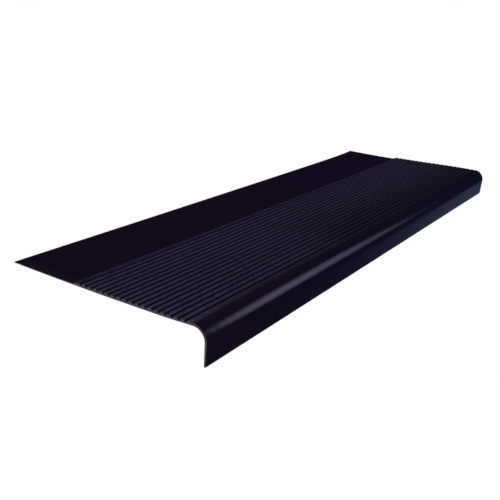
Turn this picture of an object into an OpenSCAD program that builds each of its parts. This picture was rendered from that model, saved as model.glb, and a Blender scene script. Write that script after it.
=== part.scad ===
// Rubber stair tread with a ribbed walking surface and a square-drop nosing.
// One moulded piece: its section is drawn in the plane (depth, height) and run along X.
// Section frame: depth 0 is the outermost face of the nosing and grows to the back edge,
// height 0 is the top of the ribs. The part is then laid down as it rests unheld on a
// level floor: on the inner edge of its flange's toe and on its back bottom edge.

/* [Overall size] */
// Length along the nosing, cut square at both ends
tread_l = 914.4; // [150:0.1:1830]
// Depth from the nosing's outer face to the back edge
tread_d = 311.15; // [290:0.05:360]
// Thickness over the ribs
tread_t = 4.4; // [4:0.1:6.4]

/* [Nosing and flange] */
// Outer radius of the nosing
nose_r = 18; // [14:0.5:20]
// Drop from the rib tops to the toe of the flange
nose_drop = 46.8; // [38:0.1:60]
// Wall of the flange where the nosing's curve ends
flange_t = 2.9; // [2.4:0.1:3]
// Wall over the step's edge, where the nosing's curve meets the land
nose_t = 3.2; // [3.1:0.1:4.2]
// Depth at which the underside has come down to the full thickness
swell_to = 56; // [40:1:100]
// Inward lean of the flange's inner face below the curve, in degrees
flange_lean = 2.2; // [0:0.1:3]
// Wall of the flange at its toe
toe_t = 2.25; // [1.8:0.05:2.9]
// Drop down to which the flange's outer face stays upright before it slants in to the toe
taper_from = 21; // [20.5:0.5:30]

/* [Ribbed field] */
// Number of grooves
groove_n = 18; // [3:1:18]
// Distance from one groove's centre to the next
groove_pitch = 9.4; // [6:0.1:9.6]
// Depth at which the first groove's centre lies, behind the front land
groove_first = 28.4; // [26:0.1:32]
// Depth of a groove below the rib tops
groove_depth = 2.1; // [1:0.1:2.2]
// Width of a groove between its upright walls
groove_w = 2.8; // [1.2:0.1:3.2]
// Radius of the rounded shoulders of the ribs
shoulder_r = 0.6; // [0.2:0.05:0.9]

/* [Back strip] */
// Width of the flat land left behind the last groove's wall
last_land_w = 5; // [2.5:0.1:6]
// Run of the ramp from the last land down to the plain back strip
ramp_w = 8; // [4:0.5:14]
// Thickness of the plain strip where the ramp ends
strip_t = 1.45; // [1.2:0.05:3]
// Thickness of the plain strip at the back edge
back_t = 1.2; // [1:0.05:1.6]

/* [Colour] */
// Colour of the rubber
rubber_colour = [0.03, 0.028, 0.038];

/* [Hidden] */
$fn = 96;
// inner curve of the nosing: it meets the underside and the flange's inner face
inner_r = nose_r - nose_t;
inner_y = flange_t + inner_r;
toe_in_y = flange_t + (nose_drop - nose_r) * tan(flange_lean);
toe_out_y = max(0, toe_in_y - toe_t);
last_c = groove_first + (groove_n - 1) * groove_pitch;
last_edge = last_c + groove_w / 2;
ramp_a = last_edge + last_land_w;
ramp_b = ramp_a + ramp_w;
// with few grooves the underside is down to the full thickness before the ramp begins
swell_y = min(swell_to, ramp_a - 1);
floor_z = -groove_depth;
// resting attitude: the flange's inner toe edge and the back bottom edge on the floor
lean = atan((nose_drop - tread_t) / (tread_d - toe_in_y));
rest_z = tread_d * sin(lean) + tread_t * cos(lean);
y_min = min(
    toe_out_y * cos(lean) - nose_drop * sin(lean),
    -taper_from * sin(lean)
);
y_max = tread_d * cos(lean) + (back_t - tread_t) * sin(lean);

// a quarter of a disc: side 1 reaches towards the back edge, side -1 towards the nosing
module quarter(cy, cz, r, side) {
    translate([cy, cz])
        intersection() {
            circle(r = r);
            translate([side > 0 ? 0 : -2 * r, 0])
                square([2 * r, 2 * r]);
        }
}

// a raised band above the groove floors from a to b, with a rounded shoulder at each end that meets a groove
module band(a, b, round_a, round_b) {
    s = shoulder_r;
    ra = round_a ? s : 0;
    rb = round_b ? s : 0;
    translate([a, floor_z])
        square([b - a, groove_depth - s]);
    translate([a + ra, -s])
        square([b - a - ra - rb, s]);
    if (round_a) quarter(a + s, -s, s, -1);
    if (round_b) quarter(b - s, -s, s, 1);
}

// the layer under the grooves, the ramp and the plain strip behind it
module plate() {
    polygon([
        [nose_r, -nose_t],
        [swell_y, -tread_t],
        [ramp_a, -tread_t],
        [ramp_a, floor_z],
        [nose_r, floor_z]
    ]);
    polygon([
        [ramp_a, -tread_t],
        [ramp_b, -tread_t],
        [tread_d, -tread_t],
        [tread_d, -tread_t + back_t],
        [ramp_b, -tread_t + strip_t],
        [ramp_a, 0]
    ]);
}

// the curve over the step's edge and the flange that hangs from it
module nosing() {
    difference() {
        union() {
            quarter(nose_r, -nose_r, nose_r, -1);
            polygon([
                [nose_r, -nose_r],
                [0, -nose_r],
                [0, -taper_from],
                [toe_out_y, -nose_drop],
                [nose_r, -nose_drop]
            ]);
        }
        quarter(inner_y, -nose_r, inner_r, -1);
        translate([inner_y, -nose_drop - 10])
            square([nose_r * 2, nose_drop + 10 - nose_t]);
        polygon([
            [inner_y, -nose_r],
            [flange_t, -nose_r],
            [flange_t + (nose_drop + 10 - nose_r) * tan(flange_lean), -nose_drop - 10],
            [inner_y, -nose_drop - 10]
        ]);
    }
}

module section() {
    nosing();
    plate();
    band(nose_r, groove_first - groove_w / 2, false, true);
    for (i = [1:groove_n - 1]) {
        c = groove_first + (i - 1) * groove_pitch;
        band(c + groove_w / 2, c + groove_pitch - groove_w / 2, true, true);
    }
    band(last_edge, ramp_a, true, false);
}

module tread() {
    color(rubber_colour)
        translate([-tread_l / 2, -(y_min + y_max) / 2, rest_z])
            rotate([-lean, 0, 0])
                rotate([90, 0, 90])
                    linear_extrude(height = tread_l)
                        section();
}

tread();
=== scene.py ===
import math

import bmesh
import bpy
import numpy as np
from mathutils import Matrix, Vector


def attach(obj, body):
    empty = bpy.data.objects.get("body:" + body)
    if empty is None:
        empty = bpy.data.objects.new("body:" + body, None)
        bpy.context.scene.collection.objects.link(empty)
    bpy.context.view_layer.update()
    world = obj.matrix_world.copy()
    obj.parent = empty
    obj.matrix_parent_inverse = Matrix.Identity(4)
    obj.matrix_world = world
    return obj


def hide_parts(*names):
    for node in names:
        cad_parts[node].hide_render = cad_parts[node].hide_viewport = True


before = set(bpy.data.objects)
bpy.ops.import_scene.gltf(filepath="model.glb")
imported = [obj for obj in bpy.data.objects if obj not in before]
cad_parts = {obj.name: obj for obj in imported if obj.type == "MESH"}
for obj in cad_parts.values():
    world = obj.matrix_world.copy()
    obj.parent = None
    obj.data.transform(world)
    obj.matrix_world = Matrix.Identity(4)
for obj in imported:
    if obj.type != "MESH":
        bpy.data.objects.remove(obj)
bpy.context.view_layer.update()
scene = bpy.context.scene
scene.view_settings.view_transform = "Standard"
scene.view_settings.look = "None"

# ---------------------------------------------------------------- the section, as in the CAD (mm)
L, D, T = 914.4, 311.15, 4.4
RO, DROP, FT, F_LEAN, TOE_T = 18.0, 46.8, 2.9, math.radians(2.2), 2.25
NOSE_T, SWELL = 3.2, 56.0
GN, PITCH, G0, GD, GW, SR = 18, 9.4, 28.4, 2.1, 2.8, 0.6
LAND2, RAMP, STRIP_T, BACK_T = 5.0, 8.0, 1.45, 1.2
RI = RO - NOSE_T
IY = FT + RI
TOE_IN = FT + (DROP - RO) * math.tan(F_LEAN)
TOE = TOE_IN - TOE_T
LAST = G0 + (GN - 1) * PITCH + GW / 2
RA = LAST + LAND2
RB = RA + RAMP
LEAN = math.atan((DROP - T) / (D - TOE_IN))
CS, SN = math.cos(LEAN), math.sin(LEAN)
Y_MID = ((TOE * CS - DROP * SN) + (D * CS + (BACK_T - T) * SN)) / 2
REST_Z = D * SN + T * CS
# how the flexible sheet departs from flat: it sags halfway back and more so to the right, its ends lift, the right end
# curls up a little more, and the thin wall just behind the nosing is hollowed a little away from the ends
SAG, SKEW, LIFT, CURL, HOLLOW = 2.22, 0.59, 0.63, 2.77, 1.25


def blend(v, a, b):
    s = np.clip((v - a) / (b - a), 0, 1)
    return s * s * (3 - 2 * s)


def settle(x, y):
    u = np.clip((y - RO) / (D - RO), 0, 1)
    t = x / L
    back = 1 - np.exp(-np.clip(y - RO, 0, None) / 35)
    hollow = blend(y, 5, 25) * np.exp(-((y - 25) / 25) ** 2) * blend(x, 50, 400) * (1 - 0.8 * blend(x, 700, L))
    sag = SAG * 4 * u * (1 - u) * (1 + SKEW * (t - 0.5))
    return -sag - HOLLOW * hollow + back * (LIFT * (1 - 4 * t * (1 - t)) + CURL * np.exp(-(L - x) / 35))


def rest(p):
    """A point of the level section frame, x from the left end, in mm, put where the tread lies, in metres."""
    x, y, z = p
    return Vector(((x - L / 2) / 1000, (y * CS + z * SN - Y_MID) / 1000, (-y * SN + z * CS + REST_Z) / 1000))


def turn(v):
    """A direction of the level section frame in the scene."""
    return Vector((v[0], v[1] * CS + v[2] * SN, -v[1] * SN + v[2] * CS))


# ---------------------------------------------------------------- a fine profile of that section
def arc(cy, cz, r, a0, a1, n, first=True):
    """Points on an arc from a0 to a1 in degrees, angles from +Y towards +Z."""
    ks = range(0 if first else 1, n + 1)
    return [(cy + r * math.cos(math.radians(a0 + (a1 - a0) * k / n)), cz + r * math.sin(math.radians(a0 + (a1 - a0) * k / n))) for k in ks]


def line(a, b, n):
    """Points after a, up to b."""
    return [(a[0] + (b[0] - a[0]) * k / n, a[1] + (b[1] - a[1]) * k / n) for k in range(1, n + 1)]


def face_out(z, ease=6.0):
    """Depth of the flange's outer face at height z: the taper eases in below the nosing's curve."""
    s = TOE / (DROP - RO - ease / 2)
    d = -RO - z
    return s * d * d / (2 * ease) if d < ease else s * (d - ease / 2)


def crown(y0, y1, n, low, rise):
    """A rib's top from y0 to y1, after y0, at low at its sides and higher by rise in its middle."""
    out = []
    for k in range(1, n + 1):
        t = k / n
        out.append((y0 + (y1 - y0) * t, low + rise * (1 - (2 * t - 1) ** 2)))
    return out


def profile():
    """The whole section, from the middle of the toe, up the outer face, over the top to the back edge, and back along the underside."""
    P = []
    rt = 0.45                                  # rounding of the toe's corners
    P += [(TOE_IN - rt - 0.5, -DROP), (TOE + rt, -DROP)]
    P += arc(TOE + rt, -DROP + rt, rt, -90, -180, 4, False)
    z0 = -DROP + rt
    for k in range(1, 31):
        z = z0 + (-RO - z0) * k / 30
        P.append((face_out(z), z))
    P += arc(RO, -RO, RO, 180, 90, 60, False)
    # the front land
    P += line(P[-1], (G0 - GW / 2 - SR, 0.0), 8)
    rf = 0.5                                   # fillet at the groove's bottom corners
    dip = 0.12                                 # the ribs' sides are this much lower than their middles
    for i in range(GN):
        c = G0 + i * PITCH
        a, b = c - GW / 2, c + GW / 2
        top = 0.0 if i == 0 else -dip
        P += arc(a - SR, top - SR, SR, 90, 0, 5, False)
        P += line(P[-1], (a, -GD + rf), 2)
        P += arc(a + rf, -GD + rf, rf, 180, 270, 3, False)
        P += line(P[-1], (b - rf, -GD), 2)
        P += arc(b - rf, -GD + rf, rf, 270, 360, 3, False)
        P += line(P[-1], (b, -dip - SR), 2)
        P += arc(b + SR, -dip - SR, SR, 180, 90, 5, False)
        if i < GN - 1:
            P += crown(P[-1][0], c + PITCH - GW / 2 - SR, 6, -dip, dip)
    # the last land, rounded over into the ramp, and the ramp's foot rounded into the strip
    P += line(P[-1], (RA - 1.1, -0.07), 3)
    slope = (T - STRIP_T) / RAMP
    P += [(RA - 0.5, -0.12), (RA + 0.1, -0.20), (RA + 0.8, -0.34)]
    P += [(RA + 1.6, -0.02 - 1.6 * slope * 1.06)]
    P += line(P[-1], (RB - 2.0, -(RAMP - 2.0) * slope), 3)
    z_b = -T + STRIP_T
    fall = (STRIP_T - BACK_T) / (D - RB)
    P += [(RB - 1.0, z_b + 0.31), (RB, z_b + 0.13), (RB + 1.0, z_b + 0.03), (RB + 2.4, z_b - 2.4 * fall)]
    P += line(P[-1], (D - 0.35, -T + BACK_T), 26)
    P += arc(D - 0.35, -T + BACK_T - 0.35, 0.35, 90, 0, 3, False)
    P += [(D, -T)]
    # the underside, the inner curve and the flange's inner face
    P += line(P[-1], (SWELL, -T), 30)
    P += line(P[-1], (IY, -NOSE_T), 8)
    P += arc(IY, -RO, RI, 90, 180, 26, False)
    P += line(P[-1], (TOE_IN - 0.002, -DROP + 0.05), 10)
    P += [(TOE_IN - 0.25, -DROP)]
    return P


PROFILE = profile()


def build_tread():
    pts = np.array(PROFILE, float)
    n = len(pts)
    # outward normals of the profile, for the worn edge of the cut ends
    step = np.roll(pts, -1, axis=0) - np.roll(pts, 1, axis=0)
    nrm = np.stack([step[:, 1], -step[:, 0]], 1)
    nrm /= np.maximum(np.linalg.norm(nrm, axis=1, keepdims=True), 1e-9)
    area = 0.5 * np.sum(pts[:, 0] * np.roll(pts[:, 1], -1) - np.roll(pts[:, 0], -1) * pts[:, 1])
    if area < 0:
        nrm = -nrm
    # the rings next to the ends keep the worn edge's normals out of the first long faces
    inner = sorted(list(np.linspace(0, L, 102)[1:-1]) + [0.5, 1.2, L - 13, L - 11, L - 7, L - 5, L - 3, L - 1.2, L - 0.5])
    xs = [0.0, 0.06, 0.22] + inner + [L - 0.22, L - 0.06, L]
    inset = [0.15, 0.05, 0.0] + [0.0] * len(inner) + [0.0, 0.05, 0.15]
    m = len(xs)
    # the far end's outline shows no open grooves: there they run out to a shallow dip
    trough = (pts[:, 0] > G0 - GW) & (pts[:, 0] < LAST + GW / 2) & (pts[:, 1] < -0.12) & (pts[:, 1] > -GD - 0.2)
    sec = np.zeros((m, n, 3))
    for j in range(m):
        q = pts - nrm * inset[j]
        sec[j, :, 0] = xs[j]
        sec[j, :, 1] = q[:, 0]
        sec[j, :, 2] = q[:, 1]
        sec[j, trough, 2] = -0.12 + (q[trough, 1] + 0.12) * (1 - 0.78 * blend(xs[j], L - 14, L - 3))
    sec = sec.reshape(-1, 3)
    out = np.empty_like(sec)
    out[:, 0] = (sec[:, 0] - L / 2) / 1000
    out[:, 1] = (sec[:, 1] * CS + sec[:, 2] * SN - Y_MID) / 1000
    out[:, 2] = (-sec[:, 1] * SN + sec[:, 2] * CS + settle(sec[:, 0], sec[:, 1]) + REST_Z) / 1000
    faces = []
    for j in range(m - 1):
        a, b = j * n, (j + 1) * n
        for k in range(n):
            k2 = (k + 1) % n
            faces.append((a + k, b + k, b + k2, a + k2))
    # which zone each strip of the profile belongs to: 0 smooth, 1 ribbed, 3 the grooves and the rib shoulders that face
    # the front, coloured with painted shade
    mid = (pts + np.roll(pts, -1, axis=0)) / 2
    ribbed = (mid[:, 0] > RO - 7.5) & (mid[:, 0] < RB + 1.0) & (mid[:, 1] > -3.05) & ~((mid[:, 0] < RO) & (mid[:, 1] < -4))
    off = (mid[:, 0] - G0 + PITCH / 2) % PITCH - PITCH / 2          # from the nearest groove's centre
    groove = (mid[:, 0] > G0 - GW) & (mid[:, 0] < LAST + GW / 2) & (mid[:, 1] > -3.05) & ((mid[:, 1] < -0.5) | ((off > 0.4) & (off < GW / 2 + SR)))
    mats = [3 if g else int(r) for r, g in zip(ribbed, groove)] * (m - 1)
    mesh = bpy.data.meshes.new("tread_rubber")
    mesh.from_pydata(out.tolist(), [], faces + [tuple(range(n)), tuple((m - 1) * n + k for k in range(n))[::-1]])
    mesh.polygons.foreach_set("material_index", np.array(mats + [2, 2], np.int32))
    # where each point lies in the flat section: along, depth and height in mm
    att = mesh.attributes.new("section", "FLOAT_VECTOR", "POINT")
    att.data.foreach_set("vector", sec.astype(np.float32).ravel())
    mesh.update()
    bm = bmesh.new()
    bm.from_mesh(mesh)
    bmesh.ops.recalc_face_normals(bm, faces=bm.faces)
    caps = [f for f in bm.faces if len(f.verts) > 4]
    bmesh.ops.triangulate(bm, faces=caps, quad_method="BEAUTY", ngon_method="EAR_CLIP")
    for f in bm.faces:
        f.smooth = f.material_index != 2
    for e in bm.edges:
        if len(e.link_faces) == 2:
            f, g = e.link_faces
            if (f.material_index == 2) != (g.material_index == 2):
                e.smooth = False
            elif f.normal.angle(g.normal, 0) > math.radians(38):
                e.smooth = False
    bm.to_mesh(mesh)
    bm.free()
    obj = bpy.data.objects.new("tread_rubber", mesh)
    scene.collection.objects.link(obj)
    return obj


# ---------------------------------------------------------------- node helpers
class Tree:
    def __init__(self, tree):
        self.t = tree
        self.t.nodes.clear()

    def node(self, kind, **props):
        n = self.t.nodes.new(kind)
        for k, v in props.items():
            setattr(n, k, v)
        return n

    def link(self, a, b):
        self.t.links.new(a, b)

    def put(self, sock, v):
        if isinstance(v, bpy.types.NodeSocket):
            self.link(v, sock)
        else:
            sock.default_value = v

    def math(self, op, a, b=0.0, c=None, clamp=False):
        n = self.node("ShaderNodeMath", operation=op, use_clamp=clamp)
        self.put(n.inputs[0], a)
        self.put(n.inputs[1], b)
        if c is not None:
            self.put(n.inputs[2], c)
        return n.outputs[0]

    def mul(self, *v):
        out = v[0]
        for k in v[1:]:
            out = self.math("MULTIPLY", out, k)
        return out

    def dot(self, v, c):
        n = self.node("ShaderNodeVectorMath", operation="DOT_PRODUCT")
        self.put(n.inputs[0], v)
        n.inputs[1].default_value = c
        return n.outputs["Value"]

    def ramp(self, v, a, b, lo=0.0, hi=1.0, smooth=True):
        n = self.node("ShaderNodeMapRange", interpolation_type="SMOOTHSTEP" if smooth else "LINEAR", clamp=True)
        self.put(n.inputs["Value"], v)
        n.inputs["From Min"].default_value = a
        n.inputs["From Max"].default_value = b
        n.inputs["To Min"].default_value = lo
        n.inputs["To Max"].default_value = hi
        return n.outputs["Result"]

    def noise(self, vec, scale, detail=2.0, rough=0.5, dist=0.0):
        n = self.node("ShaderNodeTexNoise")
        self.put(n.inputs["Vector"], vec)
        n.inputs["Scale"].default_value = scale
        n.inputs["Detail"].default_value = detail
        n.inputs["Roughness"].default_value = rough
        n.inputs["Distortion"].default_value = dist
        return n.outputs["Fac"]

    def mix(self, fac, a, b, mode="MIX"):
        n = self.node("ShaderNodeMix", data_type="RGBA", blend_type=mode)
        self.put(n.inputs["Factor"], fac)
        self.put(n.inputs["A"], a)
        self.put(n.inputs["B"], b)
        return n.outputs["Result"]

    def bump(self, height, strength, distance, normal=None):
        n = self.node("ShaderNodeBump")
        n.inputs["Strength"].default_value = strength
        n.inputs["Distance"].default_value = distance
        self.put(n.inputs["Height"], height)
        if normal is not None:
            self.link(normal, n.inputs["Normal"])
        return n.outputs["Normal"]

    def scaled(self, vec, scale):
        n = self.node("ShaderNodeVectorMath", operation="MULTIPLY")
        self.put(n.inputs[0], vec)
        n.inputs[1].default_value = scale
        return n.outputs[0]


def rgb(r, g, b):
    return (r, g, b, 1.0)


BASE = (0.0200, 0.0112, 0.0330)
BLOOM = (0.0765, 0.0682, 0.1445)


def new_mat(name):
    """A material, its node tree, its shader, the object's own coordinates in metres, and along, depth and height in the flat section in mm."""
    m = bpy.data.materials.new(name)
    m.use_nodes = True
    t = Tree(m.node_tree)
    out = t.node("ShaderNodeOutputMaterial")
    bsdf = t.node("ShaderNodeBsdfPrincipled")
    t.link(bsdf.outputs[0], out.inputs["Surface"])
    tc = t.node("ShaderNodeTexCoord")
    att = t.node("ShaderNodeAttribute", attribute_name="section", attribute_type="GEOMETRY")
    sep = t.node("ShaderNodeSeparateXYZ")
    t.link(att.outputs["Vector"], sep.inputs[0])
    return m, t, bsdf, tc.outputs["Object"], sep.outputs[0], sep.outputs[1], sep.outputs[2]


def smooth_rubber():
    m, t, b, vec, x, y, z = new_mat("rubber_smooth")
    big = t.noise(vec, 9.0, 3.0, 0.55)
    mid = t.noise(vec, 60.0, 3.0, 0.6)
    fine = t.noise(vec, 900.0, 2.0, 0.6)
    tone = t.math("MULTIPLY_ADD", big, 0.30, 0.85)
    tone = t.math("MULTIPLY_ADD", mid, 0.12, t.math("ADD", tone, -0.06))
    col = t.mix(t.ramp(tone, 0.8, 1.2), rgb(BASE[0] * 0.88, BASE[1] * 0.88, BASE[2] * 0.88), rgb(BASE[0] * 1.14, BASE[1] * 1.14, BASE[2] * 1.12))
    # painted light: the strip's top is lighter over the last few mm at the left end
    painted_end_light = t.mul(t.ramp(x, 24.0, 3.0), t.ramp(y, RB, RB + 3.0), t.ramp(z, -T + 0.6, -T + 0.9), 0.9)
    col = t.mix(painted_end_light, col, rgb(0.0270, 0.0198, 0.0430))
    t.link(col, b.inputs["Base Color"])
    r = t.math("MULTIPLY_ADD", mid, 0.05, 0.080)
    r = t.math("ADD", r, t.math("MULTIPLY_ADD", big, 0.04, -0.02))
    t.link(r, b.inputs["Roughness"])
    n1 = t.bump(t.noise(vec, 140.0, 2.0, 0.5), 0.10, 0.0006)
    n2 = t.bump(fine, 0.10, 0.00012, n1)
    t.link(n2, b.inputs["Normal"])
    return m


def ribbed_rubber():
    m, t, b, vec, x, y, z = new_mat("rubber_ribbed")
    big = t.noise(vec, 11.0, 3.0, 0.6)
    mid = t.noise(vec, 75.0, 4.0, 0.65)
    fine = t.noise(vec, 850.0, 2.0, 0.7)
    # how much of the dull bloom shows, its strength part bloom and part painted light and shade: on the tops, not down
    # in the grooves, painted shade on the rib shoulders that face the front and over the nosing's curve, painted light
    # making it heaviest at the left end and towards the back, and painted shade keeping it thin on the front land away
    # from the left end
    top = t.ramp(z, -0.42, -0.14)
    off = t.math("SUBTRACT", t.math("MODULO", t.math("ADD", y, PITCH / 2 - G0 + 10 * PITCH), PITCH), PITCH / 2)
    # painted shade: the bloom drops to 0.12 on the front part of each rib, by its shoulder that faces the front
    edge = t.math("MAXIMUM", t.math("LESS_THAN", off, 0.0), t.ramp(off, 1.7, 3.2, 0.12, 1.0))
    edge = t.math("MAXIMUM", edge, t.math("LESS_THAN", y, G0 - 0.5))
    top = t.math("MULTIPLY", top, edge)
    top = t.math("MAXIMUM", top, t.ramp(y, RA - 1.5, RA - 1.0))
    near = t.math("POWER", math.e, t.math("MULTIPLY", x, -1 / 30.0))
    # painted shade: the bloom fades out over the nosing's curve
    front = t.ramp(t.math("MULTIPLY_ADD", near, 1.6, y), RO - 3.0, RO + 5.5)
    foot = t.ramp(y, RB + 0.6, RB - 1.0)
    # painted light: the bloom is weaker towards the front, more so away from the left end, and a little stronger right
    # of the middle towards the back
    away = t.math("ADD", t.ramp(x, 5.0, 130.0, 0.0, 0.28, smooth=False), t.ramp(x, 130.0, 300.0, 0.0, 0.14, smooth=False))
    away = t.math("ADD", away, t.math("ADD", t.ramp(x, 270.0, 390.0, 0.0, 0.58), t.ramp(x, 520.0, 900.0, 0.0, -0.10)))
    deep = t.ramp(y, 28.0, 160.0, 0.14, 0.75)
    keep = t.math("MULTIPLY_ADD", t.math("SUBTRACT", deep, 1.0), away, 1.0)
    keep = t.math("ADD", keep, t.mul(t.ramp(x, 480.0, 780.0), t.ramp(y, 55.0, 110.0), 0.15))
    # painted shade: on the front land the bloom is thinner away from the left end
    land = t.ramp(y, G0 - 1.4, G0 - 0.4)
    thin = t.math("MULTIPLY_ADD", t.math("POWER", math.e, t.math("MULTIPLY", x, -1 / 40.0)), 0.55, 0.45)
    thin = t.math("MULTIPLY_ADD", t.math("SUBTRACT", 1.0, thin), land, thin)
    rear = t.ramp(y, RA - 5.0, RA - 3.0, 1.0, 0.52)
    beside = t.math("MAXIMUM", t.ramp(y, RA, RA - 6.0), t.ramp(y, RA + 0.2, RA + 1.4, 0.0, 0.95))
    rear = t.math("MULTIPLY", rear, t.math("MAXIMUM", t.ramp(x, 6.0, 34.0, 0.15, 1.0), beside))
    bloom_and_painted_light = t.mul(top, front, foot, keep, thin, rear)
    fleck = t.ramp(t.noise(vec, 360.0, 2.0, 0.6), 0.38, 0.62, 0.42, 1.54)
    grain = t.ramp(t.noise(t.scaled(vec, (0.7, 1.0, 1.0)), 210.0, 1.0, 0.5), 0.40, 0.60, 0.74, 1.24)
    dash = t.ramp(t.noise(t.scaled(vec, (0.6, 2.5, 1.0)), 110.0, 1.0, 0.5), 0.38, 0.62, 0.80, 1.20)
    # painted light: the bloom is a little stronger near the left end; random tone, flecks, grain and dashes vary it too
    bloom_and_painted_light = t.mul(bloom_and_painted_light, t.math("MULTIPLY_ADD", mid, 0.6, 0.70), t.math("MULTIPLY_ADD", big, 0.3, 0.85), fleck, grain, dash, t.math("MULTIPLY_ADD", near, 0.10, 1.0))
    # the bloom is a little bluer on the last land and the ramp
    hue = t.ramp(t.noise(vec, 38.0, 2.0, 0.5), 0.32, 0.68)
    tint = t.mix(hue, rgb(BLOOM[0] * 1.13, BLOOM[1] * 0.96, BLOOM[2]), rgb(BLOOM[0] * 0.88, BLOOM[1] * 1.03, BLOOM[2] * 1.02))
    tint = t.mix(t.math("MULTIPLY", near, 0.8), tint, rgb(BLOOM[0] * 1.26, BLOOM[1] * 0.98, BLOOM[2]))
    tint = t.mix(t.ramp(y, RA - 14.0, RA), tint, rgb(BLOOM[0] * 0.76, BLOOM[1] * 1.02, BLOOM[2] * 1.02))
    col = t.mix(t.math("MULTIPLY", bloom_and_painted_light, 0.72, clamp=True), rgb(*BASE), t.mix(1.0, tint, rgb(1.38, 1.38, 1.38), "MULTIPLY"))
    t.link(col, b.inputs["Base Color"])
    r = t.math("MULTIPLY_ADD", t.mul(top, front, foot), 0.24, 0.26)
    t.link(r, b.inputs["Roughness"])
    n1 = t.bump(t.noise(vec, 260.0, 3.0, 0.6), 0.25, 0.0006)
    n2 = t.bump(fine, 0.30, 0.0003, n1)
    t.link(n2, b.inputs["Normal"])
    return m


def groove_shade_rubber():
    m, t, b, vec, x, y, z = new_mat("rubber_groove_shade")
    mid = t.noise(vec, 90.0, 3.0, 0.6)
    # painted shade: the grooves and the rib shoulders that face the front are coloured darker than the rubber
    col = t.mix(t.ramp(mid, 0.3, 0.7), rgb(0.0115, 0.0060, 0.0330), rgb(0.0165, 0.0090, 0.0435))
    t.link(col, b.inputs["Base Color"])
    t.link(t.math("MULTIPLY_ADD", mid, 0.16, 0.42), b.inputs["Roughness"])
    b.inputs["Specular IOR Level"].default_value = 0.22
    t.link(t.bump(t.noise(vec, 300.0, 3.0, 0.6), 0.25, 0.0004), b.inputs["Normal"])
    return m


def cut_rubber():
    m, t, b, vec, x, y, z = new_mat("rubber_cut")
    mid = t.noise(vec, 160.0, 4.0, 0.6)
    fine = t.noise(t.scaled(vec, (1, 1, 3)), 900.0, 3.0, 0.7)
    # the cut face's pale grey is partly the cut rubber's own duller colour and partly painted light from the left; it
    # is lighter still behind the ramp
    col = t.mix(t.ramp(mid, 0.3, 0.7), rgb(0.158, 0.146, 0.196), rgb(0.226, 0.210, 0.278))
    col = t.mix(t.ramp(y, RB - 6.0, RB + 2.0), col, t.mix(1.0, col, rgb(1.42, 1.42, 1.42), "MULTIPLY"))
    t.link(col, b.inputs["Base Color"])
    t.link(t.math("MULTIPLY_ADD", fine, 0.15, 0.62), b.inputs["Roughness"])
    n1 = t.bump(t.noise(t.scaled(vec, (1, 0.4, 2.2)), 420.0, 3.0, 0.6), 0.35, 0.0004)
    n2 = t.bump(fine, 0.30, 0.0002, n1)
    t.link(n2, b.inputs["Normal"])
    return m


tread = build_tread()
for mat in (smooth_rubber(), ribbed_rubber(), cut_rubber(), groove_shade_rubber()):
    tread.data.materials.append(mat)
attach(tread, "root")
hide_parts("tread")

# ---------------------------------------------------------------- floor
floor_mesh = bpy.data.meshes.new("floor")
s = 12.0
floor_mesh.from_pydata([(-s, -s, 0), (s, -s, 0), (s, s, 0), (-s, s, 0)], [], [(0, 1, 2, 3)])
floor = bpy.data.objects.new("floor", floor_mesh)
scene.collection.objects.link(floor)
fm = bpy.data.materials.new("pale_floor")
fm.use_nodes = True
ft = Tree(fm.node_tree)
fo = ft.node("ShaderNodeOutputMaterial")
em = ft.node("ShaderNodeEmission")
lp = ft.node("ShaderNodeLightPath")
em.inputs["Color"].default_value = rgb(1, 1, 1)
ft.link(ft.ramp(lp.outputs["Is Camera Ray"], 0, 1, 0.33, 1.0, smooth=False), em.inputs["Strength"])
ft.link(em.outputs[0], fo.inputs["Surface"])
floor_mesh.materials.append(fm)
floor.visible_glossy = False

# ---------------------------------------------------------------- studio: white to the eye, softboxes in a dark room to the gloss
world = bpy.data.worlds.new("studio")
scene.world = world
world.use_nodes = True
w = Tree(world.node_tree)
wo = w.node("ShaderNodeOutputWorld")
wtc = w.node("ShaderNodeTexCoord")
dirv = wtc.outputs["Generated"]
dx = w.dot(dirv, (1, 0, 0))
dy = w.dot(dirv, (0, CS, -SN))
dz = w.dot(dirv, (0, SN, CS))
# azimuth from +X towards the front and elevation, in degrees, level with the tread's top
az = w.math("MULTIPLY", w.math("ARCTAN2", w.math("MULTIPLY", dy, -1.0), dx), 180 / math.pi)
el = w.math("MULTIPLY", w.math("ARCSINE", w.math("MULTIPLY", dz, 0.99999)), 180 / math.pi)


def window(u, a0, a1, a2, a3, v, e0, e1, e2, e3):
    """A soft-edged panel: rises from a0 to a1 and falls from a2 to a3 across u, and in the same way across v."""
    return w.mul(w.ramp(u, a0, a1), w.ramp(u, a3, a2), w.ramp(v, e0, e1), w.ramp(v, e3, e2))


# the large softbox ahead on the right, its sides leaning with its height
rise = w.math("ADD", el, -14.0)
up = w.math("MAXIMUM", rise, 0.0)
near_side = w.math("MULTIPLY_ADD", up, 0.34, w.math("MULTIPLY_ADD", w.math("MINIMUM", rise, 0.0), 0.09, az))
high = w.math("MAXIMUM", w.math("ADD", el, -10.0), 0.0)
far_side = w.math("MULTIPLY_ADD", high, w.math("MULTIPLY_ADD", high, 0.016, 0.07), az)
key = w.mul(w.ramp(near_side, 24.5, 26.3), w.ramp(near_side, 26.3, 35.4, 0.34, 1.0, smooth=False), w.ramp(far_side, 44.9, 42.6), w.ramp(el, -7.0, 13.4), w.ramp(el, 38.5, 19.0))
# light thrown up from the table in front, growing downwards and to the right
t_low = w.math("SUBTRACT", w.math("MULTIPLY_ADD", el, -0.85, 3.3), w.math("MULTIPLY", w.math("ADD", az, -20.0), 1.5))
low = w.mul(w.math("POWER", w.ramp(t_low, 12.0, 26.0, smooth=False), 3.3), w.ramp(el, -7.6, -15.4), w.ramp(el, -25.0, -20.5, 0.6, 1.0))
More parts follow.
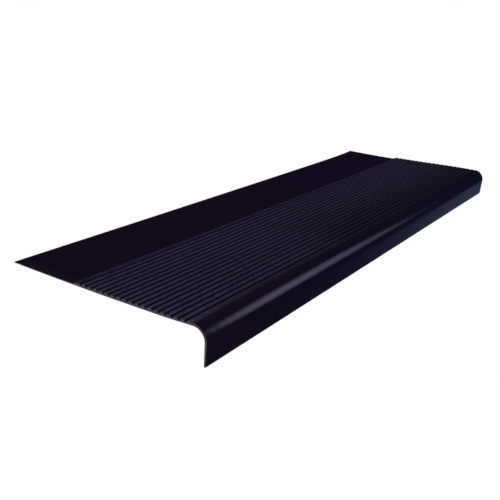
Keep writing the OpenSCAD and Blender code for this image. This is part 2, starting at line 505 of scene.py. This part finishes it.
# panels that the other sides of the tread see
over = w.ramp(el, 56.0, 72.0)
side = w.math("ABSOLUTE", az)
left = window(side, 140.0, 158.0, 181.0, 182.0, el, 2.0, 12.0, 34.0, 52.0)
ahead = window(az, 62.0, 78.0, 108.0, 124.0, el, 4.0, 14.0, 34.0, 52.0)
behind = window(az, -126.0, -112.0, -92.0, -78.0, el, 8.0, 18.0, 36.0, 54.0)
room = w.mix(w.ramp(az, 0.0, -20.0), rgb(0.001, 0.005, 0.026), rgb(0.0050, 0.0035, 0.0180))
col = w.mix(key, room, rgb(0.96, 0.94, 1.42))
for fac, c in ((low, rgb(0.094, 0.129, 0.210)), (over, rgb(0.42, 0.42, 0.55)), (left, rgb(0.40, 0.40, 0.54)), (ahead, rgb(0.55, 0.55, 0.74)), (behind, rgb(0.36, 0.36, 0.48))):
    col = w.mix(1.0, col, w.mix(fac, rgb(0, 0, 0), c), "ADD")
bg_gloss = w.node("ShaderNodeBackground")
w.link(col, bg_gloss.inputs["Color"])
bg_diff = w.node("ShaderNodeBackground")
diff = w.ramp(w.dot(dirv, (0, 0, 1)), -0.2, 1.0, 0.26, 0.42)
w.link(diff, bg_diff.inputs["Strength"])
bg_cam = w.node("ShaderNodeBackground")
bg_cam.inputs["Color"].default_value = rgb(1, 1, 1)
wlp = w.node("ShaderNodeLightPath")
m1 = w.node("ShaderNodeMixShader")
w.link(wlp.outputs["Is Glossy Ray"], m1.inputs[0])
w.link(bg_diff.outputs[0], m1.inputs[1])
w.link(bg_gloss.outputs[0], m1.inputs[2])
m2 = w.node("ShaderNodeMixShader")
w.link(wlp.outputs["Is Camera Ray"], m2.inputs[0])
w.link(m1.outputs[0], m2.inputs[1])
w.link(bg_cam.outputs[0], m2.inputs[2])
w.link(m2.outputs[0], wo.inputs["Surface"])

# ---------------------------------------------------------------- camera, found from the photograph's outline
C_AZ, C_EL, C_ROLL = 0.976387, 0.352204, -0.0302384
C_POS, C_F = (-478.3072, -384.4798, 307.9197), 669.8071
C_X, C_Y = 259.0000, 252.8522
fwd = Vector((math.sin(C_AZ) * math.cos(C_EL), math.cos(C_AZ) * math.cos(C_EL), -math.sin(C_EL)))
rgt = Vector((math.cos(C_AZ), -math.sin(C_AZ), 0))
dwn = -rgt.cross(fwd)
r2 = math.cos(C_ROLL) * rgt + math.sin(C_ROLL) * dwn
d2 = -math.sin(C_ROLL) * rgt + math.cos(C_ROLL) * dwn
cx, cy, cz = turn(r2), -turn(d2), -turn(fwd)
cam_data = bpy.data.cameras.new("camera")
cam = bpy.data.objects.new("camera", cam_data)
scene.collection.objects.link(cam)
p = rest(C_POS)
cam.matrix_world = Matrix(((cx.x, cy.x, cz.x, p.x), (cx.y, cy.y, cz.y, p.y), (cx.z, cy.z, cz.z, p.z), (0, 0, 0, 1)))
cam_data.sensor_fit = "HORIZONTAL"
cam_data.sensor_width = 36.0
cam_data.lens = 36.0 * C_F / 500.0
cam_data.shift_x = -(C_X - 250.0) / 500.0
cam_data.shift_y = (C_Y - 250.0) / 500.0
cam_data.clip_start = 0.01
cam_data.clip_end = 60.0
scene.camera = cam
